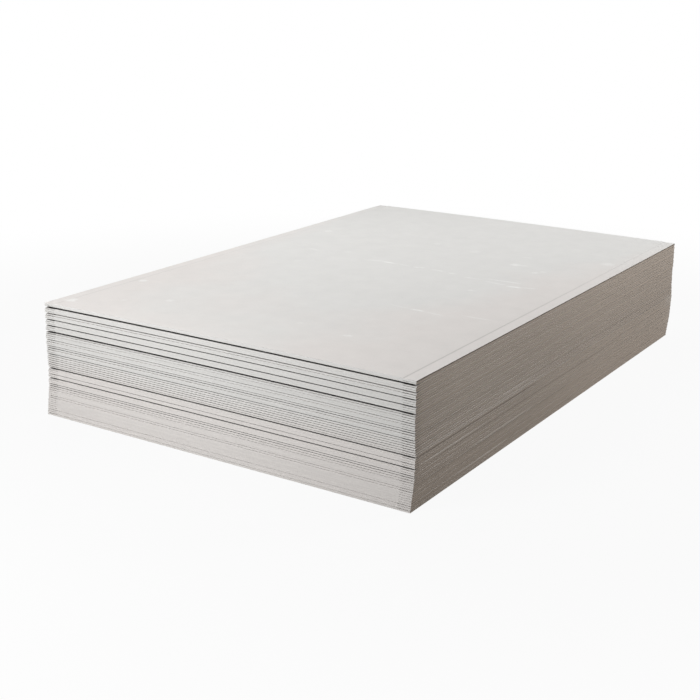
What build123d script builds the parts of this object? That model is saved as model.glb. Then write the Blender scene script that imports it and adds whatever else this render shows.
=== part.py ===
"""A stack of cement boards: flat fibre-cement sheets with recessed long edges, laid one on another.

Millimetres, +Z up. X runs across the boards, Y along them, and the front of the stack faces -Y.
The origin is on the floor, under the middle of the stack.
"""

import os
from math import sin

from build123d import *

# One board
board_length = 1800.0
board_width = 1200.0
board_thickness = 6.0

# The long edges are thinned on the upper face, to take jointing compound
recess_width = 38.0
recess_depth = 0.9
recess_ramp = 5.0

# The stack
board_count = 56

# Boards that lie further in than the rest at the front end, counted from the top of the stack
end_slip = 2.0
end_slip_shares = {
    3: 0.8,
    6: 0.55,
    9: 0.6,
    12: 0.65,
    15: 0.8,
    19: 0.3,
    22: 0.35,
    23: 0.65,
    26: 0.65,
    28: 0.25,
    30: 0.25,
    33: 1.0,
    36: 0.35,
    38: 0.9,
    41: 0.65,
    42: 0.55,
    47: 0.35,
    54: 0.35,
}

# Sideways the stack wanders a little, and its lowest boards were set down further to the left
side_slip = 8.0
side_slip_shares = {1: 0.0, 14: 0.06, 15: -0.1, 25: 0.0, 32: 0.35, 40: 0.1, 44: 0.0, 56: -1.0}

# No board lies quite true to its neighbours
end_wobble = 0.12
side_wobble = 0.4
wobble_turn = 2.4


def side_share(number):
    """The sideways share of a board, counted from the top, in a straight line between the stated ones."""
    stated = sorted(side_slip_shares)
    above = max((place for place in stated if place <= number), default=stated[0])
    below = min((place for place in stated if place >= number), default=stated[-1])
    along = (number - above) / (below - above) if below > above else 0
    return side_slip_shares[above] + along * (side_slip_shares[below] - side_slip_shares[above])


def side_place(number):
    """How far a board, counted from the top, lies to the right of the stack's own line."""
    return side_slip * side_share(number) + side_wobble * sin(number * wobble_turn)


def end_place(number):
    """How far in from the front a board lies, counted from the top."""
    return end_slip * end_slip_shares.get(number, 0) + end_wobble * sin(number * number * wobble_turn)


def middle(places):
    """Halfway between the two furthest of some places."""
    return (min(places) + max(places)) / 2


def lay_board(level, across, along):
    """One board at its level in the stack, counted from the floor, with its middle at across and along."""
    half_width = board_width / 2
    face_edge = half_width - recess_width
    ramp_foot = face_edge + recess_ramp
    edge_height = board_thickness - recess_depth
    place = (across, along + board_length / 2, level * board_thickness)
    back_end = Plane(origin=place, x_dir=(1, 0, 0), z_dir=(0, -1, 0))
    with BuildPart() as board:
        with BuildSketch(back_end):
            with BuildLine():
                Polyline(
                    (0, 0),
                    (half_width, 0),
                    (half_width, edge_height),
                    (ramp_foot, edge_height),
                    (face_edge, board_thickness),
                    (0, board_thickness),
                    close=True,
                )
            make_face()
            mirror(about=Plane.YZ)
        extrude(amount=board_length)
    return board


def build_stack():
    """Lays every board from the floor up, about the middle of the stack, and writes each as its own file."""
    os.makedirs("parts", exist_ok=True)
    numbers = range(1, board_count + 1)
    side_middle = middle([side_place(number) for number in numbers])
    end_middle = middle([end_place(number) for number in numbers])
    for level in range(board_count):
        number = board_count - level
        board = lay_board(level, side_place(number) - side_middle, end_place(number) - end_middle)
        board.part.label = f"board_{level + 1:02d}"
        export_step(board.part, f"parts/{board.part.label}.step")


build_stack()
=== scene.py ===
import math
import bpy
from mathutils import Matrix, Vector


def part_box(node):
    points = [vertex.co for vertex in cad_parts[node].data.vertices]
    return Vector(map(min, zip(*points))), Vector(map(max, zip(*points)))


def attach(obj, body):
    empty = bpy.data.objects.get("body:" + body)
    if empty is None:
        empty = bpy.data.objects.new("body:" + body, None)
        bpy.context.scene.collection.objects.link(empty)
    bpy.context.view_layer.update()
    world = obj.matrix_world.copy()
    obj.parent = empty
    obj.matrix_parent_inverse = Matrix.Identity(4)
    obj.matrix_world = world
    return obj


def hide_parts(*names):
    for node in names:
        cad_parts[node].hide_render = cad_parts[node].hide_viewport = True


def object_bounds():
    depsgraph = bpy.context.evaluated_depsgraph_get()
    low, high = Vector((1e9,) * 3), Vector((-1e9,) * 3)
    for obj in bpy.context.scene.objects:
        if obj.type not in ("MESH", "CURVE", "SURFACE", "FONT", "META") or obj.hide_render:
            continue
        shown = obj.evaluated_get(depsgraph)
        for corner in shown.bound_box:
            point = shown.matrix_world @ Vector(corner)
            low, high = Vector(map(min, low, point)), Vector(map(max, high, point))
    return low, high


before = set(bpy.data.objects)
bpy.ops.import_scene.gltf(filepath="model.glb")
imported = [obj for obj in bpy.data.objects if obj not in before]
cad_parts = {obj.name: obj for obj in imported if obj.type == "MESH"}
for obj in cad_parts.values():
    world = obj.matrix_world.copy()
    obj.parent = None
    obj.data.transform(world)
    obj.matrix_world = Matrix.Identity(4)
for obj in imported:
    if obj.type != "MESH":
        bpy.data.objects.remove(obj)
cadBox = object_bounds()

from types import SimpleNamespace

import bpy
from mathutils import Matrix, Vector

scene = bpy.context.scene
boardNames = sorted(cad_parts)
print("frame loaded:", len(boardNames), "boards")


# small helpers for node trees

def feed(tree, socket, value):
    if isinstance(value, bpy.types.NodeSocket):
        tree.links.new(value, socket)
    else:
        socket.default_value = value


def addNode(tree, kind, inputs=None, **settings):
    made = tree.nodes.new(kind)
    for name, value in settings.items():
        setattr(made, name, value)
    for key, value in (inputs or {}).items():
        feed(tree, made.inputs[key], value)
    return made


def maths(tree, work, *values):
    return addNode(tree, "ShaderNodeMath", dict(enumerate(values)), operation=work).outputs[0]


def total(tree, value, *added):
    for amount in added:
        value = maths(tree, "ADD", value, amount)
    return value


def minus(tree, value, *taken):
    for amount in taken:
        value = maths(tree, "SUBTRACT", value, amount)
    return value


def product(tree, value, *factors):
    for factor in factors:
        value = maths(tree, "MULTIPLY", value, factor)
    return value


def ramp(tree, value, fromLow, fromHigh, toLow=0.0, toHigh=1.0, smooth=False):
    made = addNode(tree, "ShaderNodeMapRange", clamp=True)
    made.interpolation_type = "SMOOTHSTEP" if smooth else "LINEAR"
    for key, entry in enumerate((value, fromLow, fromHigh, toLow, toHigh)):
        feed(tree, made.inputs[key], entry)
    return made.outputs[0]


def split(tree, vector):
    return addNode(tree, "ShaderNodeSeparateXYZ", {0: vector}).outputs


def combine(tree, x, y, z):
    return addNode(tree, "ShaderNodeCombineXYZ", {0: x, 1: y, 2: z}).outputs[0]


def vectorMaths(tree, work, first, second, output=0):
    return addNode(tree, "ShaderNodeVectorMath", {0: first, 1: second}, operation=work).outputs[output]


def noise(tree, place, seed, scale, detail=2.0, roughness=0.5):
    values = {"Vector": place, "W": seed, "Scale": scale, "Detail": detail, "Roughness": roughness}
    return addNode(tree, "ShaderNodeTexNoise", values, noise_dimensions="4D").outputs["Fac"]


# the camera stands where the picture's seven corners put it

cameraSet = {
    "place": (1.962, -3.318, 1.270),
    "turn": 32.58,  # degrees left of straight ahead
    "dip": 14.17,
    "roll": 0.67,
    "lens": 65.0,
    "sensor": 36.0,
    "shift": -0.1,
    "clipEnd": 200.0,
}


def makeCamera():
    lens = bpy.data.cameras.new("pictureCamera")
    lens.lens = cameraSet["lens"]
    lens.sensor_width = cameraSet["sensor"]
    lens.shift_y = cameraSet["shift"]
    lens.clip_end = cameraSet["clipEnd"]
    camera = bpy.data.objects.new("pictureCamera", lens)
    scene.collection.objects.link(camera)
    turn = Matrix.Rotation(math.radians(cameraSet["turn"]), 4, "Z")
    dip = Matrix.Rotation(math.radians(90.0 - cameraSet["dip"]), 4, "X")
    roll = Matrix.Rotation(math.radians(cameraSet["roll"]), 4, "Z")
    camera.matrix_world = Matrix.Translation(cameraSet["place"]) @ turn @ dip @ roll
    scene.camera = camera


makeCamera()
print("camera placed")


# white studio: a pale floor, an even world and soft lamps

studioSet = {
    "floorSize": 90.0,
    "floorColour": (0.55, 0.55, 0.55, 1.0),
    "floorGlow": (0.93, 1.0),  # share of plain white that the camera sees, by the stack and far off
    "floorFade": (1.3, 2.8),  # where that change begins and ends, from the middle
    "worldColour": (1.0, 0.995, 0.985, 1.0),
    "horizonLevel": 0.52,
    "zenithLevel": 0.15,
    "lamps": {
        "keyLamp": {"place": (-0.5, -2.6, 1.5), "size": 1.2, "watts": 16.0},
        "lowLamp": {"place": (-0.3, -2.2, 0.8), "size": 1.0, "watts": 9.0},
        "topLamp": {"place": (-1.05, 0.2, 2.1), "size": 1.6, "watts": 17.6},
        "backLamp": {"place": (3.6, 3.7, 2.1), "size": 1.4, "watts": 21.0},
        "sideLamp": {"place": (2.0, 1.5, 2.0), "size": 1.0, "watts": 19.5},
        "farLamp": {"place": (0.15, 1.25, 1.3), "size": 0.7, "watts": 1.1},
    },
    "lampAim": (0.0, 0.0, 0.15),
}


def seenDirectly(tree):
    path = addNode(tree, "ShaderNodeLightPath").outputs
    seen = maths(tree, "MAXIMUM", path["Is Camera Ray"], path["Is Glossy Ray"])
    return maths(tree, "MAXIMUM", seen, path["Is Transmission Ray"])


def makeFloor():
    half = studioSet["floorSize"] / 2
    corners = [(-half, -half, 0), (half, -half, 0), (half, half, 0), (-half, half, 0)]
    mesh = bpy.data.meshes.new("studioFloor")
    mesh.from_pydata(corners, [], [(0, 1, 2, 3)])
    floor = bpy.data.objects.new("studioFloor", mesh)
    scene.collection.objects.link(floor)
    material = bpy.data.materials.new("paleFloor")
    material.use_nodes = True
    tree = material.node_tree
    tree.nodes.clear()
    matt = addNode(tree, "ShaderNodeBsdfDiffuse", {"Color": studioSet["floorColour"]})
    white = addNode(tree, "ShaderNodeEmission", {"Strength": 1.0})
    place = addNode(tree, "ShaderNodeTexCoord").outputs["Object"]
    away = addNode(tree, "ShaderNodeVectorMath", {0: place}, operation="LENGTH").outputs["Value"]
    glow = ramp(tree, away, *studioSet["floorFade"], *studioSet["floorGlow"], smooth=True)
    share = product(tree, seenDirectly(tree), glow)
    mixed = addNode(tree, "ShaderNodeMixShader", {0: share, 1: matt.outputs[0], 2: white.outputs[0]})
    addNode(tree, "ShaderNodeOutputMaterial", {"Surface": mixed.outputs[0]})
    mesh.materials.append(material)


def makeWorld():
    world = bpy.data.worlds.new("studioWorld")
    scene.world = world
    world.use_nodes = True
    tree = world.node_tree
    tree.nodes.clear()
    toward = addNode(tree, "ShaderNodeTexCoord").outputs["Generated"]
    level = ramp(tree, split(tree, toward)[2], 0.0, 1.0, studioSet["horizonLevel"], studioSet["zenithLevel"])
    ambient = addNode(tree, "ShaderNodeBackground", {"Color": studioSet["worldColour"], "Strength": level})
    white = addNode(tree, "ShaderNodeBackground", {"Color": (1.0, 1.0, 1.0, 1.0), "Strength": 1.0})
    share = seenDirectly(tree)
    mixed = addNode(tree, "ShaderNodeMixShader", {0: share, 1: ambient.outputs[0], 2: white.outputs[0]})
    addNode(tree, "ShaderNodeOutputWorld", {"Surface": mixed.outputs[0]})


def makeLamps():
    for name, lamp in studioSet["lamps"].items():
        light = bpy.data.lights.new(name, "AREA")
        light.shape = "DISK"
        light.size = lamp["size"]
        light.energy = lamp["watts"]
        holder = bpy.data.objects.new(name, light)
        scene.collection.objects.link(holder)
        holder.visible_camera = False
        aim = Vector(studioSet["lampAim"]) - Vector(lamp["place"])
        turn = aim.to_track_quat("-Z", "Y").to_matrix().to_4x4()
        holder.matrix_world = Matrix.Translation(lamp["place"]) @ turn


makeFloor()
makeWorld()
makeLamps()
scene.view_settings.view_transform = "Standard"
print("studio lit")


# parts that the materials of the boards share

patternSet = {
    "noiseRange": (0.3, 0.7),  # where a noise has most of its values
    "seedSpread": 60.0,  # keeps the patterns of two boards apart
}


def colourMix(tree, share, first, second, blend="MIX"):
    made = addNode(tree, "ShaderNodeMix", data_type="RGBA", blend_type=blend)
    feed(tree, made.inputs[0], share)
    feed(tree, made.inputs[6], first)
    feed(tree, made.inputs[7], second)
    return made.outputs[2]


def attribute(tree, name, kind="Fac"):
    return addNode(tree, "ShaderNodeAttribute", attribute_name=name).outputs[kind]


def startMaterial(name, settings):
    material = bpy.data.materials.new(name)
    material.use_nodes = True
    tree = material.node_tree
    tree.nodes.clear()
    shader = addNode(tree, "ShaderNodeBsdfPrincipled")
    shader.inputs["Roughness"].default_value = settings["roughness"]
    shader.inputs["Specular IOR Level"].default_value = settings["specular"]
    addNode(tree, "ShaderNodeOutputMaterial", {"Surface": shader.outputs[0]})
    return material, tree, shader


def boardSeed(tree):
    return product(tree, attribute(tree, "boardTone"), patternSet["seedSpread"])


def boardTone(tree, spread):
    return ramp(tree, attribute(tree, "boardTone"), 0.0, 1.0, 1.0 - spread, 1.0)


def noiseTone(tree, value, spread):
    # turns a noise into a brightness factor about 1
    return ramp(tree, value, *patternSet["noiseRange"], 1.0 - spread, 1.0 + spread)


def shaded(tree, colour, change):
    # change is a brightness factor about 1
    grey = addNode(tree, "ShaderNodeCombineColor", {0: change, 1: change, 2: change})
    return colourMix(tree, 1.0, colour, grey.outputs[0], "MULTIPLY")


def roughen(tree, shader, height, depth):
    bump = addNode(tree, "ShaderNodeBump", {"Height": height, "Distance": depth})
    feed(tree, shader.inputs["Normal"], bump.outputs[0])


# marks of the top board

markSet = {
    "bumps": 110.0,  # to the metre, in the outlines of the marks
    "spotBend": 1.8,  # how far those bend a spot's outline, in sizes of the spot
    "spotFade": (0.5, 1.35),  # where a spot begins and ends to fade, in its sizes
    "spotGaps": 330.0,  # to the metre
    "spotGapRange": (0.38, 0.58),
    "spotGapShares": (0.45, 1.15),
    "scrapeFade": 0.03,  # how far a scrape fades at its ends, at most
    "scrapeFadeShare": 0.3,  # and as a share of its length
    "scrapeCore": 0.2,  # share of its width that has full strength
    "dashes": (26.0, 150.0, 1.0),  # to the metre, across and along the board
    "dashRange": (0.36, 0.52),
}
# pale spots, in metres from the middle of the board: across, along, size, strength
spotMarks = [
    (-0.556, -0.841, 0.017, 0.70),
    (-0.541, -0.557, 0.012, 0.75),
    (-0.322, -0.691, 0.012, 0.45),
    (-0.432, -0.758, 0.010, 0.20),
    (-0.487, 0.362, 0.014, 0.45),
    (-0.308, -0.080, 0.014, 0.15),
    (0.111, -0.669, 0.010, 0.20),
    (-0.247, 0.121, 0.014, 0.15),
    (-0.064, 0.400, 0.016, 0.25),
    (0.101, 0.366, 0.018, 0.25),
    (0.290, 0.274, 0.015, 0.75),
    (0.386, 0.214, 0.011, 0.55),
    (0.402, 0.238, 0.010, 0.35),
    (0.322, -0.096, 0.010, 0.45),
    (0.528, 0.461, 0.020, 0.45),
]
# dashed scrapes: where each starts and ends, its width and strength
scrapeMarks = [
    ((-0.392, 0.098), (-0.329, 0.076), 0.012, 0.30),
    ((-0.140, 0.052), (-0.076, 0.070), 0.014, 0.40),
    ((-0.084, 0.068), (-0.015, 0.062), 0.009, 1.00),
    ((-0.023, 0.063), (0.030, 0.060), 0.008, 0.45),
    ((0.037, 0.056), (0.078, 0.070), 0.008, 0.80),
    ((0.098, 0.060), (0.160, 0.063), 0.008, 0.75),
    ((0.165, 0.053), (0.196, 0.056), 0.009, 0.65),
    ((0.228, 0.036), (0.297, 0.041), 0.008, 0.75),
    ((0.285, 0.057), (0.420, 0.064), 0.008, 0.70),
    ((0.299, 0.028), (0.384, 0.020), 0.008, 0.60),
    ((0.382, 0.011), (0.440, 0.020), 0.011, 0.95),
    ((0.430, 0.019), (0.478, 0.038), 0.008, 0.45),
    ((0.258, 0.383), (0.300, 0.392), 0.010, 0.35),
    ((0.290, 0.274), (0.335, 0.281), 0.009, 0.50),
    ((0.300, -0.104), (0.342, -0.091), 0.009, 0.35),
    ((0.200, -0.368), (0.285, -0.375), 0.007, 0.30),
    ((0.278, -0.375), (0.328, -0.376), 0.009, 0.85),
    ((0.326, -0.378), (0.392, -0.383), 0.007, 0.40),
    ((0.425, -0.352), (0.525, -0.346), 0.007, 0.40),
    ((0.260, -0.698), (0.293, -0.690), 0.010, 0.80),
]


def spotShare(tree, flat, wobble, broken, mark):
    across, along, size, strength = mark
    away = vectorMaths(tree, "DISTANCE", flat, (across, along, 0.0), "Value")
    away = maths(tree, "MULTIPLY_ADD", wobble, size * markSet["spotBend"], away)
    fadeFrom, fadeTo = markSet["spotFade"]
    spot = ramp(tree, away, size * fadeFrom, size * fadeTo, strength, 0.0, smooth=True)
    return product(tree, spot, broken)


def scrapeShare(tree, flat, wobble, dashes, mark):
    start, end, width, strength = mark
    reach = Vector(end) - Vector(start)
    forward = reach.normalized()
    fromStart = vectorMaths(tree, "SUBTRACT", flat, (*start, 0.0))
    along = vectorMaths(tree, "DOT_PRODUCT", fromStart, (*forward, 0.0), "Value")
    aside = vectorMaths(tree, "DOT_PRODUCT", fromStart, (-forward.y, forward.x, 0.0), "Value")
    aside = maths(tree, "ABSOLUTE", maths(tree, "MULTIPLY_ADD", wobble, width, aside))
    fade = min(markSet["scrapeFade"], reach.length * markSet["scrapeFadeShare"])
    begins = ramp(tree, along, 0.0, fade)
    ends = ramp(tree, along, reach.length - fade, reach.length, 1.0, 0.0)
    line = ramp(tree, aside, width * markSet["scrapeCore"], width, strength, 0.0)
    return product(tree, line, product(tree, begins, ends), dashes)


def topMarks(tree, place, seed):
    flat = vectorMaths(tree, "MULTIPLY", place, (1.0, 1.0, 0.0))
    wobble = minus(tree, noise(tree, flat, seed, markSet["bumps"], detail=3.0, roughness=0.6), 0.5)
    gaps = noise(tree, flat, seed, markSet["spotGaps"], detail=4.0, roughness=0.65)
    broken = ramp(tree, gaps, *markSet["spotGapRange"], *markSet["spotGapShares"])
    dashPlace = vectorMaths(tree, "MULTIPLY", flat, markSet["dashes"])
    dashes = ramp(tree, noise(tree, dashPlace, seed, 1.0, detail=3.0, roughness=0.65), *markSet["dashRange"])
    shares = [spotShare(tree, flat, wobble, broken, mark) for mark in spotMarks]
    shares += [scrapeShare(tree, flat, wobble, dashes, mark) for mark in scrapeMarks]
    strongest = 0.0
    for share in shares:
        strongest = maths(tree, "MAXIMUM", strongest, share)
    return strongest


# pressed face

faceSet = {
    "cool": (0.807, 0.800, 0.782, 1.0),
    "warm": (0.822, 0.788, 0.764, 1.0),
    "mark": (0.960, 0.955, 0.940, 1.0),
    # the colour of the painted shade in open joints, recesses and side slots
    "paintedShade": (0.019, 0.016, 0.013, 1.0),
    "warmSides": 1.1,  # the warm tone grows towards both long edges,
    "warmRight": 0.12,  # a little more to the right,
    "warmBack": -0.30,  # and less towards the back
    "warmCloud": 0.5,
    "warmRange": (0.40, 0.60),
    "recessWarm": 0.8,
    "recessAlong": (-0.4, 0.7),  # the recess shows less towards the back
    "recessShown": (1.0, 0.25),
    "groove": 0.80,  # how much of the light the ramp of the recess keeps
    "cloud": 2.4,  # patches to the metre
    "mottle": 17.0,
    "mottleTone": 0.022,
    "grain": 650.0,
    "grainTone": 0.035,
    "grainDepth": 0.00006,
    "fleck": (900.0, 190.0, 500.0),
    "fleckRange": (0.62, 0.72),
    "fleckTone": 0.93,
    "roughness": 0.78,
    "specular": 0.3,
}


def faceMaterial(name, marked):
    material, tree, shader = startMaterial(name, faceSet)
    place = attribute(tree, "boardPlace", "Vector")
    seed = boardSeed(tree)
    across, along = split(tree, place)[:2]

    rightward = product(tree, across, faceSet["warmRight"])
    sideways = maths(tree, "MULTIPLY_ADD", product(tree, across, across), faceSet["warmSides"], rightward)
    drift = maths(tree, "MULTIPLY_ADD", along, faceSet["warmBack"], sideways)
    cloud = noise(tree, place, seed, faceSet["cloud"], detail=3.0, roughness=0.55)
    warmth = maths(tree, "MULTIPLY_ADD", cloud, faceSet["warmCloud"], drift)
    warmth = ramp(tree, warmth, *faceSet["warmRange"])
    recess = attribute(tree, "recess")
    shown = ramp(tree, along, *faceSet["recessAlong"], *faceSet["recessShown"])
    warmth = maths(tree, "MAXIMUM", warmth, product(tree, recess, shown, faceSet["recessWarm"]))
    colour = colourMix(tree, warmth, faceSet["cool"], faceSet["warm"])

    slope = product(tree, recess, minus(tree, 1.0, recess), shown, 4.0)  # 1 halfway down the ramp
    groove = ramp(tree, slope, 0.0, 1.0, 1.0, faceSet["groove"])
    mottle = noise(tree, place, seed, faceSet["mottle"], detail=5.0, roughness=0.6)
    mottle = noiseTone(tree, mottle, faceSet["mottleTone"])
    grain = noise(tree, place, seed, faceSet["grain"], detail=3.0, roughness=0.6)
    speckle = noiseTone(tree, grain, faceSet["grainTone"])
    fleckPlace = vectorMaths(tree, "MULTIPLY", place, faceSet["fleck"])
    fleck = ramp(tree, noise(tree, fleckPlace, seed, 1.0), *faceSet["fleckRange"], 1.0, faceSet["fleckTone"])
    colour = shaded(tree, colour, product(tree, mottle, speckle, fleck, groove))

    if marked:
        colour = colourMix(tree, topMarks(tree, place, seed), colour, faceSet["mark"])
    # painted shade darkens the open joints, the recesses and the side slots
    colour = colourMix(tree, attribute(tree, "paintedShade"), colour, faceSet["paintedShade"])
    feed(tree, shader.inputs["Base Color"], colour)
    roughen(tree, shader, grain, faceSet["grainDepth"])
    return material


# sawn end

endSet = {
    # the ends' tones by height are partly the boards' own colour bands and partly painted light, paler
    # towards the top of the stack
    "high": (0.716, 0.710, 0.692, 1.0),
    "middle": (0.690, 0.684, 0.667, 1.0),
    "low": (0.722, 0.692, 0.670, 1.0),
    "middleFrom": (0.40, 0.56),  # shares of the stack's height where the low tone gives way
    "highFrom": (0.78, 0.90),
    "grain": 520.0,
    "grainTone": 0.045,
    "grainDepth": 0.00010,
    "ply": (4.0, 4.0, 1100.0),
    "plyTone": 0.035,
    "boardTone": 0.04,
    "roughness": 0.85,
    "specular": 0.25,
}


def endMaterial():
    material, tree, shader = startMaterial("sawnEnd", endSet)
    place = attribute(tree, "boardPlace", "Vector")
    seed = boardSeed(tree)
    level = attribute(tree, "boardLevel")
    # tones by height, partly painted light that makes the upper ends paler
    colour = colourMix(tree, ramp(tree, level, *endSet["middleFrom"]), endSet["low"], endSet["middle"])
    colour = colourMix(tree, ramp(tree, level, *endSet["highFrom"]), colour, endSet["high"])
    grain = noise(tree, place, seed, endSet["grain"], detail=3.0, roughness=0.6)
    speckle = noiseTone(tree, grain, endSet["grainTone"])
    plyPlace = vectorMaths(tree, "MULTIPLY", place, endSet["ply"])
    ply = noiseTone(tree, noise(tree, plyPlace, seed, 1.0), endSet["plyTone"])
    colour = shaded(tree, colour, product(tree, boardTone(tree, endSet["boardTone"]), speckle, ply))
    feed(tree, shader.inputs["Base Color"], colour)
    roughen(tree, shader, grain, endSet["grainDepth"])
    return material


# rough moulded edge

edgeSet = {
    "dark": (0.430, 0.365, 0.309, 1.0),
    "light": (0.500, 0.428, 0.364, 1.0),
    "worn": (0.660, 0.604, 0.545, 1.0),
    # colour of the darker stretches of the edges; along board 1 it is painted shade under the top face
    "darkened": (0.150, 0.125, 0.105, 1.0),
    "streak": (1.0, 1.6, 300.0),
    "streakShare": 0.72,
    "grain": 420.0,
    "grainShare": 0.28,
    "grainDepth": 0.00004,
    "lightRange": (0.34, 0.66),
    "boardTone": 0.05,
    "topFrom": 0.55,
    "topPaintedLight": 1.12,  # painted light: the upper boards' edges are paler
    "backAlong": (-0.3, 0.2),
    "backPaintedLight": 1.10,  # and all are paler towards the back, also painted light
    "cornerDark": 0.45,  # darker low on each edge by the front corner
    "cornerDarkAlong": (-0.88, -0.70),
    "cornerDarkRise": (0.0012, 0.0024),
    "lineRise": (0.0016, 0.0024),  # worn and darker lines keep above this
    "roughness": 0.92,
    "specular": 0.2,
}


def edgeMaterial():
    material, tree, shader = startMaterial("mouldedEdge", edgeSet)
    place = attribute(tree, "boardPlace", "Vector")
    seed = boardSeed(tree)
    along, rise = split(tree, place)[1:]

    streakPlace = vectorMaths(tree, "MULTIPLY", place, edgeSet["streak"])
    streak = noise(tree, streakPlace, seed, 1.0, detail=3.0)
    grain = noise(tree, place, seed, edgeSet["grain"], detail=5.0, roughness=0.6)
    grained = product(tree, grain, edgeSet["grainShare"])
    lightness = maths(tree, "MULTIPLY_ADD", streak, edgeSet["streakShare"], grained)
    colour = colourMix(tree, ramp(tree, lightness, *edgeSet["lightRange"]), edgeSet["dark"], edgeSet["light"])
    # painted light: the edges are paler on the upper boards and towards the back
    topPaintedLight = ramp(tree, attribute(tree, "boardLevel"), edgeSet["topFrom"], 1.0, 1.0, edgeSet["topPaintedLight"])
    backPaintedLight = ramp(tree, along, *edgeSet["backAlong"], 1.0, edgeSet["backPaintedLight"])
    colour = shaded(tree, colour, product(tree, boardTone(tree, edgeSet["boardTone"]), topPaintedLight, backPaintedLight))

    # the edges are darker low down, near the front corner
    cornerDarkAlong = ramp(tree, along, *edgeSet["cornerDarkAlong"], edgeSet["cornerDark"], 0.0)
    cornerDark = product(tree, cornerDarkAlong, ramp(tree, rise, *edgeSet["cornerDarkRise"], 1.0, 0.0))
    colour = colourMix(tree, cornerDark, colour, edgeSet["darkened"])
    # worn pale stretches, and darker ones, board 1's being painted shade under the top face
    wearAndShade = product(tree, attribute(tree, "wearAndShade"), ramp(tree, rise, *edgeSet["lineRise"]))
    worn = maths(tree, "MAXIMUM", wearAndShade, 0.0)
    darkened = maths(tree, "MAXIMUM", product(tree, wearAndShade, -1.0), 0.0)
    colour = colourMix(tree, worn, colour, edgeSet["worn"])
    colour = colourMix(tree, darkened, colour, edgeSet["darkened"])
    feed(tree, shader.inputs["Base Color"], colour)
    roughen(tree, shader, grain, edgeSet["grainDepth"])
    return material


topFace = faceMaterial("wornTopFace", True)
boardMaterials = {
    "Face Material": faceMaterial("pressedFace", False),
    "End Material": endMaterial(),
    "Edge Material": edgeMaterial(),
}
print("materials made")


# every board is one Geometry Nodes shape, set from its own node of the frame

shapeSet = {
    "arris": 0.0002,
    "rounding": 0.58,  # how far a corner of three sides is drawn in, in arrises
    "edgeRough": 0.0003,  # how far the moulded edge wanders in
    "edgeRoughScale": 14.0,
    "edgesApart": 3.0,  # keeps the wander of a board's two edges apart
    "endZone": 0.018,  # length of the wedge of an open joint
    "gapSpread": (1.10, 0.97),  # how far a joint opens at the left and at the right
    "backGap": 0.15,  # share of a joint's opening that the back end shows
    "backFrom": (-0.1, 0.1),  # where front gives way to back, in lengths of the grid
    "crown": 0.0030,  # how far the long edges of the top board hang below its middle
    "middleStrips": 5,
    "rampStrips": 2,
    "recessStrips": 3,
    "middleRows": 64,
    "endRows": 5,
    "topMiddleStrips": 14,
    "topMiddleRows": 90,
    "levels": 4,  # both faces and a row of points just inside each
    "levelRange": (0.2, 0.45),  # in the grid the inner rows lie below these heights, the faces above
    "toneTurn": 0.618034,  # spreads the tones of the boards evenly without repeating
}
# joints that stand open at the ends, counted from the top: how far in metres, and how dark the painted shade
# inside
openJoints = {
    2: (0.0050, 0.98), 5: (0.0031, 0.50), 6: (0.0010, 0.14), 8: (0.0029, 0.94), 11: (0.0030, 0.94),
    14: (0.0049, 0.98), 15: (0.0011, 0.30), 16: (0.0009, 0.08), 18: (0.0016, 0.52), 19: (0.0009, 0.10),
    21: (0.0015, 0.47), 22: (0.0020, 0.71), 23: (0.0011, 0.16), 25: (0.0023, 0.75), 26: (0.0013, 0.24),
    27: (0.0014, 0.33), 28: (0.0013, 0.24), 29: (0.0015, 0.38), 30: (0.0014, 0.33), 31: (0.0013, 0.28),
    32: (0.0043, 0.94), 35: (0.0017, 0.52), 37: (0.0037, 0.94), 40: (0.0020, 0.76), 41: (0.0017, 0.47),
    42: (0.0012, 0.14), 43: (0.0011, 0.10), 46: (0.0013, 0.19), 47: (0.0010, 0.12), 53: (0.0013, 0.14),
    55: (0.0010, 0.10),
}
# painted shade: a dark colour laid in the open joints, in every board's recess and in the slots along the
# sides, where little light reaches
paintedShadeSet = {
    "ledge": (0.0, 0.0016),  # depths between which the painted shade of an open joint begins
    "fade": (0.015, 0.030),  # and ends
    "side": (0.0, 0.002),  # how far from the long edges it begins
    "recess": 0.4,  # share of it in the recess of every board
    "slots": 0.6,  # share of it in the slots of the sides
    "slotAlong": (-0.5, 0.7),  # on the right it grows towards the back
    "slotDepth": (0.030, 0.080),  # on the left it begins this far from the end
}
# moulded edges that are worn pale (over 0) or darker (under 0), board 1's dark stretch being painted shade
# under the top face: from, to, strength
edgeWearAndShade = {
    1: (-0.93, 0.93, -1.0), 24: (-0.90, -0.62, -0.28), 28: (-0.25, 0.60, -0.22), 29: (-0.44, -0.26, 0.70),
    31: (-0.90, -0.15, 0.60), 33: (-0.90, -0.25, -0.62), 37: (-0.84, -0.56, 0.70), 38: (-0.80, 0.40, -0.34),
    44: (-0.60, -0.26, 0.90), 45: (-0.90, 0.00, -0.34), 53: (-0.67, -0.41, 0.85),
}
# boards whose moulded edge is worn pale at its far end, and how strongly
farWear = {
    31: 0.4, 32: 0.7, 33: 0.7, 34: 0.6, 35: 0.6, 36: 0.55, 37: 0.4, 41: 0.3, 43: 0.3, 46: 0.3, 49: 0.3,
}
wearSet = {
    "fade": 0.04,  # how far a worn stretch fades, to each side of its ends
    "farEnd": (0.030, 0.085),  # where the wear at the far end begins and ends to fade
}


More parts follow.
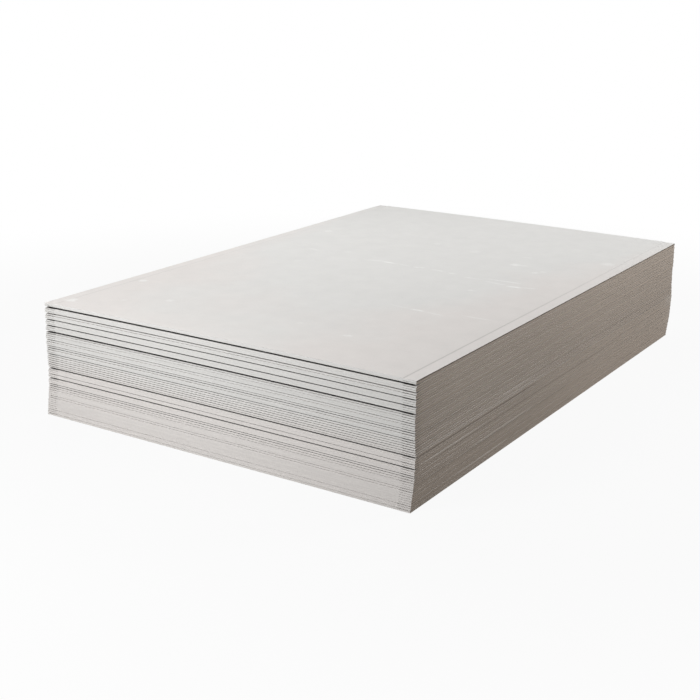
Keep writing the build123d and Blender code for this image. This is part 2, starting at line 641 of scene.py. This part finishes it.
def readSection(node):
    # widths and heights of the section, from the middle outwards
    digits = 5
    low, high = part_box(node.name)
    middle = (low.x + high.x) / 2
    points = [vertex.co for vertex in node.data.vertices]
    heights = sorted({round(point.z - low.z, digits) for point in points})
    upper = [point for point in points if round(point.z - low.z, digits) > 0]
    reach = sorted({round(abs(point.x - middle), digits) for point in upper})
    return {
        "Width": high.x - low.x,
        "Length": high.y - low.y,
        "Thickness": high.z - low.z,
        "Recess Width": reach[-1] - reach[-3],
        "Recess Ramp": reach[-2] - reach[-3],
        "Recess Depth": heights[-1] - heights[-2],
        "Place": (middle, (low.y + high.y) / 2, low.z),
    }


def declareInputs(tree):
    kinds = {
        "NodeSocketFloat": (
            "Width", "Length", "Thickness", "Recess Width", "Recess Ramp", "Recess Depth",
            "Arris", "Edge Rough", "Edge Rough Scale", "End Zone", "Crown", "Stack Height", "Tone", "Level",
            "Upper Gap", "Lower Gap", "Back Gap", "Upper Painted Shade", "Lower Painted Shade", "Takes Painted Shade",
            "Wear From", "Wear To", "Wear And Shade", "Far Wear",
        ),
        "NodeSocketInt": ("Middle Strips", "Ramp Strips", "Recess Strips", "Middle Rows", "End Rows", "Seed"),
        "NodeSocketVector": ("Place",),
        "NodeSocketMaterial": ("Face Material", "End Material", "Edge Material"),
    }
    for kind, names in kinds.items():
        for name in names:
            tree.interface.new_socket(name, in_out="INPUT", socket_type=kind)
    tree.interface.new_socket("Geometry", in_out="OUTPUT", socket_type="NodeSocketGeometry")
    return addNode(tree, "NodeGroupInput").outputs


def layGrid(tree, given):
    # a closed box of strips and rows, counted from the middle
    board = SimpleNamespace()
    board.halfStrips = total(tree, given["Middle Strips"], given["Ramp Strips"], given["Recess Strips"], 1.0)
    board.halfRows = total(tree, given["Middle Rows"], given["End Rows"], 1.0)
    counts = {
        "Vertices X": maths(tree, "MULTIPLY_ADD", board.halfStrips, 2.0, 1.0),
        "Vertices Y": maths(tree, "MULTIPLY_ADD", board.halfRows, 2.0, 1.0),
        "Vertices Z": shapeSet["levels"],
    }
    block = addNode(tree, "GeometryNodeMeshCube", counts)
    kept = addNode(tree, "GeometryNodeCaptureAttribute", domain="FACE")
    kept.capture_items.new("VECTOR", "facing")
    feed(tree, kept.inputs["Geometry"], block.outputs["Mesh"])
    feed(tree, kept.inputs["facing"], addNode(tree, "GeometryNodeInputNormal").outputs[0])
    board.mesh = kept.outputs["Geometry"]
    board.facing = kept.outputs["facing"]
    board.spot = split(tree, addNode(tree, "GeometryNodeInputPosition").outputs[0])
    board.strip = product(tree, maths(tree, "ABSOLUTE", board.spot[0]), 2.0, board.halfStrips)
    board.row = product(tree, maths(tree, "ABSOLUTE", board.spot[1]), 2.0, board.halfRows)
    board.level = maths(tree, "ABSOLUTE", board.spot[2])
    board.sideSign = maths(tree, "SIGN", board.spot[0])
    board.isUpper = maths(tree, "GREATER_THAN", board.spot[2], 0.0)
    return board


def layAcross(tree, given, board):
    # the flat middle, the ramp, the recess and the arris
    board.rampFrom = given["Middle Strips"]
    board.recessFrom = total(tree, board.rampFrom, given["Ramp Strips"])
    board.arrisFrom = minus(tree, board.halfStrips, 1.0)
    board.halfWidth = product(tree, given["Width"], 0.5)
    flatWidth = minus(tree, board.halfWidth, given["Recess Width"])
    recessFlat = minus(tree, given["Recess Width"], given["Recess Ramp"], given["Arris"])
    board.across = total(
        tree,
        ramp(tree, board.strip, 0.0, board.rampFrom, 0.0, flatWidth),
        ramp(tree, board.strip, board.rampFrom, board.recessFrom, 0.0, given["Recess Ramp"]),
        ramp(tree, board.strip, board.recessFrom, board.arrisFrom, 0.0, recessFlat),
        ramp(tree, board.strip, board.arrisFrom, board.halfStrips, 0.0, given["Arris"]),
    )
    board.recess = product(tree, ramp(tree, board.strip, board.rampFrom, board.recessFrom), board.isUpper)


def layAlong(tree, given, board):
    # the middle, the last stretch before the end and the arris
    endFrom = minus(tree, board.halfRows, 1.0)
    board.halfLength = product(tree, given["Length"], 0.5)
    board.middleLength = minus(tree, board.halfLength, given["End Zone"], given["Arris"])
    outward = minus(tree, 1.0, ramp(tree, board.row, given["Middle Rows"], endFrom))
    crowded = minus(tree, 1.0, product(tree, outward, outward))  # rows close up to the end
    board.along = total(
        tree,
        ramp(tree, board.row, 0.0, given["Middle Rows"], 0.0, board.middleLength),
        product(tree, crowded, given["End Zone"]),
        ramp(tree, board.row, endFrom, board.halfRows, 0.0, given["Arris"]),
    )


def layUp(tree, given, board):
    # the two faces and a row just inside each
    board.halfThick = product(tree, given["Thickness"], 0.5)
    innerThick = minus(tree, board.halfThick, given["Arris"])
    board.rise = ramp(tree, board.level, *shapeSet["levelRange"], innerThick, board.halfThick)


def roundArrises(tree, given, board):
    # the points where two or three sides meet are drawn in
    atSide = maths(tree, "GREATER_THAN", board.strip, minus(tree, board.halfStrips, 0.5))
    atEnd = maths(tree, "GREATER_THAN", board.row, minus(tree, board.halfRows, 0.5))
    atFace = maths(tree, "GREATER_THAN", board.level, shapeSet["levelRange"][1])
    sidesMeeting = total(tree, atSide, atEnd, atFace)
    drawIn = product(tree, ramp(tree, sidesMeeting, 1.0, 3.0, 0.0, shapeSet["rounding"]), given["Arris"])
    board.across = minus(tree, board.across, product(tree, drawIn, atSide))
    board.along = minus(tree, board.along, product(tree, drawIn, atEnd))
    board.rise = minus(tree, board.rise, product(tree, drawIn, atFace))


def wanderEdges(tree, given, board):
    # the moulded edges are not quite straight
    board.alongSigned = product(tree, board.along, maths(tree, "SIGN", board.spot[1]))
    apart = product(tree, board.sideSign, shapeSet["edgesApart"])
    wanderAt = combine(tree, board.alongSigned, apart, board.spot[2])
    wander = noise(tree, wanderAt, given["Seed"], given["Edge Rough Scale"], detail=3.0)
    nearEdge = ramp(tree, board.strip, minus(tree, board.arrisFrom, 1.0), board.arrisFrom)
    board.across = minus(tree, board.across, product(tree, wander, given["Edge Rough"], nearEdge))
    board.acrossSigned = product(tree, board.across, board.sideSign)


def openJoint(tree, given, board):
    # a short wedge at the front, wider to the left, and little of one at the back
    opening = ramp(tree, board.along, board.middleLength, board.halfLength)
    backShare = ramp(tree, board.spot[1], *shapeSet["backFrom"], 1.0, given["Back Gap"])
    leftEdge = product(tree, board.halfWidth, -1.0)
    spread = ramp(tree, board.acrossSigned, leftEdge, board.halfWidth, *shapeSet["gapSpread"])
    bothGaps = total(tree, given["Upper Gap"], given["Lower Gap"])
    gap = minus(tree, given["Lower Gap"], product(tree, board.isUpper, bothGaps))
    return product(tree, opening, backShare, spread, gap)


def placePoints(tree, given, board):
    # the upper side steps down along both long edges
    riseSigned = product(tree, board.rise, maths(tree, "SIGN", board.spot[2]))
    sunk = product(tree, board.recess, given["Recess Depth"])
    height = minus(tree, total(tree, riseSigned, board.halfThick), sunk)
    height = total(tree, height, openJoint(tree, given, board))
    board.local = combine(tree, board.acrossSigned, board.alongSigned, height)

    # the long edges hang a little, more towards the top of the stack
    x, y, z = split(tree, vectorMaths(tree, "ADD", board.local, given["Place"]))
    reach = maths(tree, "DIVIDE", board.acrossSigned, board.halfWidth)
    stackShare = maths(tree, "DIVIDE", z, given["Stack Height"])
    hang = product(tree, given["Crown"], stackShare, reach, reach)
    return combine(tree, x, y, minus(tree, z, hang))


def paintedShadeShare(tree, given, board):
    # painted shade: a dark colour in the open joints, deeper than the light reaches
    depth = minus(tree, board.halfLength, board.along)
    begins = ramp(tree, depth, *paintedShadeSet["ledge"])
    inside = product(tree, begins, ramp(tree, depth, *paintedShadeSet["fade"], 1.0, 0.0))
    fromSide = ramp(tree, minus(tree, board.halfWidth, board.across), *paintedShadeSet["side"])
    upperMore = minus(tree, given["Upper Painted Shade"], given["Lower Painted Shade"])
    ledgeShade = maths(tree, "MULTIPLY_ADD", board.isUpper, upperMore, given["Lower Painted Shade"])
    recessShade = product(tree, board.recess, paintedShadeSet["recess"])
    endShade = maths(tree, "MAXIMUM", product(tree, ledgeShade, fromSide), recessShade)

    # and painted shade in the slots that the recesses leave along the sides
    isLeft = maths(tree, "LESS_THAN", board.spot[0], 0.0)
    leftShare = product(tree, isLeft, ramp(tree, depth, *paintedShadeSet["slotDepth"]))
    slotShare = maths(tree, "MAXIMUM", ramp(tree, board.alongSigned, *paintedShadeSet["slotAlong"]), leftShare)
    slotShade = product(tree, board.recess, slotShare, paintedShadeSet["slots"])
    return product(tree, maths(tree, "MAXIMUM", product(tree, endShade, inside), slotShade), given["Takes Painted Shade"])


def wearAndShadeShare(tree, given, board):
    # stretches of the moulded edge, worn pale or darker, with board 1's dark one painted shade; the same on
    # the left, turned about
    fade = wearSet["fade"]
    sideAlong = product(tree, board.alongSigned, board.sideSign)
    begins = ramp(tree, minus(tree, sideAlong, given["Wear From"]), -fade, fade)
    ends = ramp(tree, minus(tree, sideAlong, given["Wear To"]), -fade, fade, 1.0, 0.0)
    lineWearAndShade = product(tree, given["Wear And Shade"], begins, ends)
    farShare = ramp(tree, minus(tree, board.halfLength, sideAlong), *wearSet["farEnd"], 1.0, 0.0)
    return maths(tree, "MULTIPLY_ADD", given["Far Wear"], farShare, lineWearAndShade)


def storeValues(tree, given, board):
    # what the materials read
    stored = board.mesh
    for name, kind, value in (
        ("boardPlace", "FLOAT_VECTOR", board.local),
        ("boardTone", "FLOAT", given["Tone"]),
        ("boardLevel", "FLOAT", given["Level"]),
        # share of painted shade in joints, recesses and slots
        ("paintedShade", "FLOAT", paintedShadeShare(tree, given, board)),
        ("wearAndShade", "FLOAT", wearAndShadeShare(tree, given, board)),
        ("recess", "FLOAT", board.recess),
    ):
        made = addNode(tree, "GeometryNodeStoreNamedAttribute", data_type=kind, domain="POINT")
        feed(tree, made.inputs["Geometry"], stored)
        feed(tree, made.inputs["Name"], name)
        feed(tree, made.inputs["Value"], value)
        stored = made.outputs["Geometry"]
    return stored


def setFinishes(tree, given, board, shape):
    # which side a face belongs to decides its finish
    side = split(tree, board.facing)
    isEdge = maths(tree, "GREATER_THAN", maths(tree, "ABSOLUTE", side[0]), 0.5)
    isEnd = maths(tree, "GREATER_THAN", maths(tree, "ABSOLUTE", side[1]), 0.5)
    for chosen, name in ((True, "Face Material"), (isEdge, "Edge Material"), (isEnd, "End Material")):
        values = {"Geometry": shape, "Selection": chosen, "Material": given[name]}
        shape = addNode(tree, "GeometryNodeSetMaterial", values).outputs[0]
    return shape


def makeBoardTree():
    tree = bpy.data.node_groups.new("cementBoardShape", "GeometryNodeTree")
    given = declareInputs(tree)
    board = layGrid(tree, given)
    layAcross(tree, given, board)
    layAlong(tree, given, board)
    layUp(tree, given, board)
    roundArrises(tree, given, board)
    wanderEdges(tree, given, board)
    place = placePoints(tree, given, board)
    stored = storeValues(tree, given, board)
    moved = addNode(tree, "GeometryNodeSetPosition", {"Geometry": stored, "Position": place}).outputs[0]
    single = addNode(tree, "GeometryNodeRealizeInstances", {"Geometry": moved}).outputs[0]
    addNode(tree, "NodeGroupOutput", {"Geometry": setFinishes(tree, given, board, single)})
    return tree


def boardInputs(index, section):
    count = len(boardNames)
    isTop = index == count - 1
    number = count - index  # counted from the top
    upperGap, upperShade = openJoints.get(number - 1, (0.0, 0.0))
    lowerGap, lowerShade = openJoints.get(number, (0.0, 0.0))
    wearFrom, wearTo, wearAndShade = edgeWearAndShade.get(number, (0.0, 0.0, 0.0))
    return {
        **section,
        "Upper Gap": upperGap / 2,
        "Lower Gap": lowerGap / 2,
        "Back Gap": shapeSet["backGap"],
        "Upper Painted Shade": upperShade,
        "Lower Painted Shade": lowerShade,
        # the top board takes no painted shade
        "Takes Painted Shade": 0.0 if isTop else 1.0,
        "Wear From": wearFrom,
        "Wear To": wearTo,
        "Wear And Shade": wearAndShade,
        "Far Wear": farWear.get(number, 0.0),
        "Arris": shapeSet["arris"],
        "Edge Rough": shapeSet["edgeRough"],
        "Edge Rough Scale": shapeSet["edgeRoughScale"],
        "End Zone": shapeSet["endZone"],
        "Crown": shapeSet["crown"],
        "Stack Height": cadBox[1].z - cadBox[0].z,
        "Tone": (index * shapeSet["toneTurn"]) % 1.0,
        "Level": index / (count - 1),
        "Middle Strips": shapeSet["topMiddleStrips"] if isTop else shapeSet["middleStrips"],
        "Ramp Strips": shapeSet["rampStrips"],
        "Recess Strips": shapeSet["recessStrips"],
        "Middle Rows": shapeSet["topMiddleRows"] if isTop else shapeSet["middleRows"],
        "End Rows": shapeSet["endRows"],
        "Seed": index,
        **boardMaterials,
        **({"Face Material": topFace} if isTop else {}),
    }


def layBoards():
    tree = makeBoardTree()
    sockets = {item.name: item.identifier for item in tree.interface.items_tree if item.in_out == "INPUT"}
    boards = []
    for index, name in enumerate(boardNames):
        board = bpy.data.objects.new("cementBoard%02d" % (index + 1), bpy.data.meshes.new(name + "Blank"))
        scene.collection.objects.link(board)
        shape = board.modifiers.new("boardShape", "NODES")
        shape.node_group = tree
        for key, value in boardInputs(index, readSection(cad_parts[name])).items():
            shape[sockets[key]] = value
        boards.append((board, name))
    graph = bpy.context.evaluated_depsgraph_get()
    for board, name in boards:
        mesh = bpy.data.meshes.new_from_object(board.evaluated_get(graph))
        board.modifiers.clear()
        board.data = mesh
        mesh.name = board.name
    for board, name in boards:
        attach(board, "root")
        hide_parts(name)
    return [board for board, name in boards]


boards = layBoards()
triangles = sum(sum(len(polygon.vertices) - 2 for polygon in board.data.polygons) for board in boards)
print("boards laid:", len(boards), "with", triangles, "triangles")
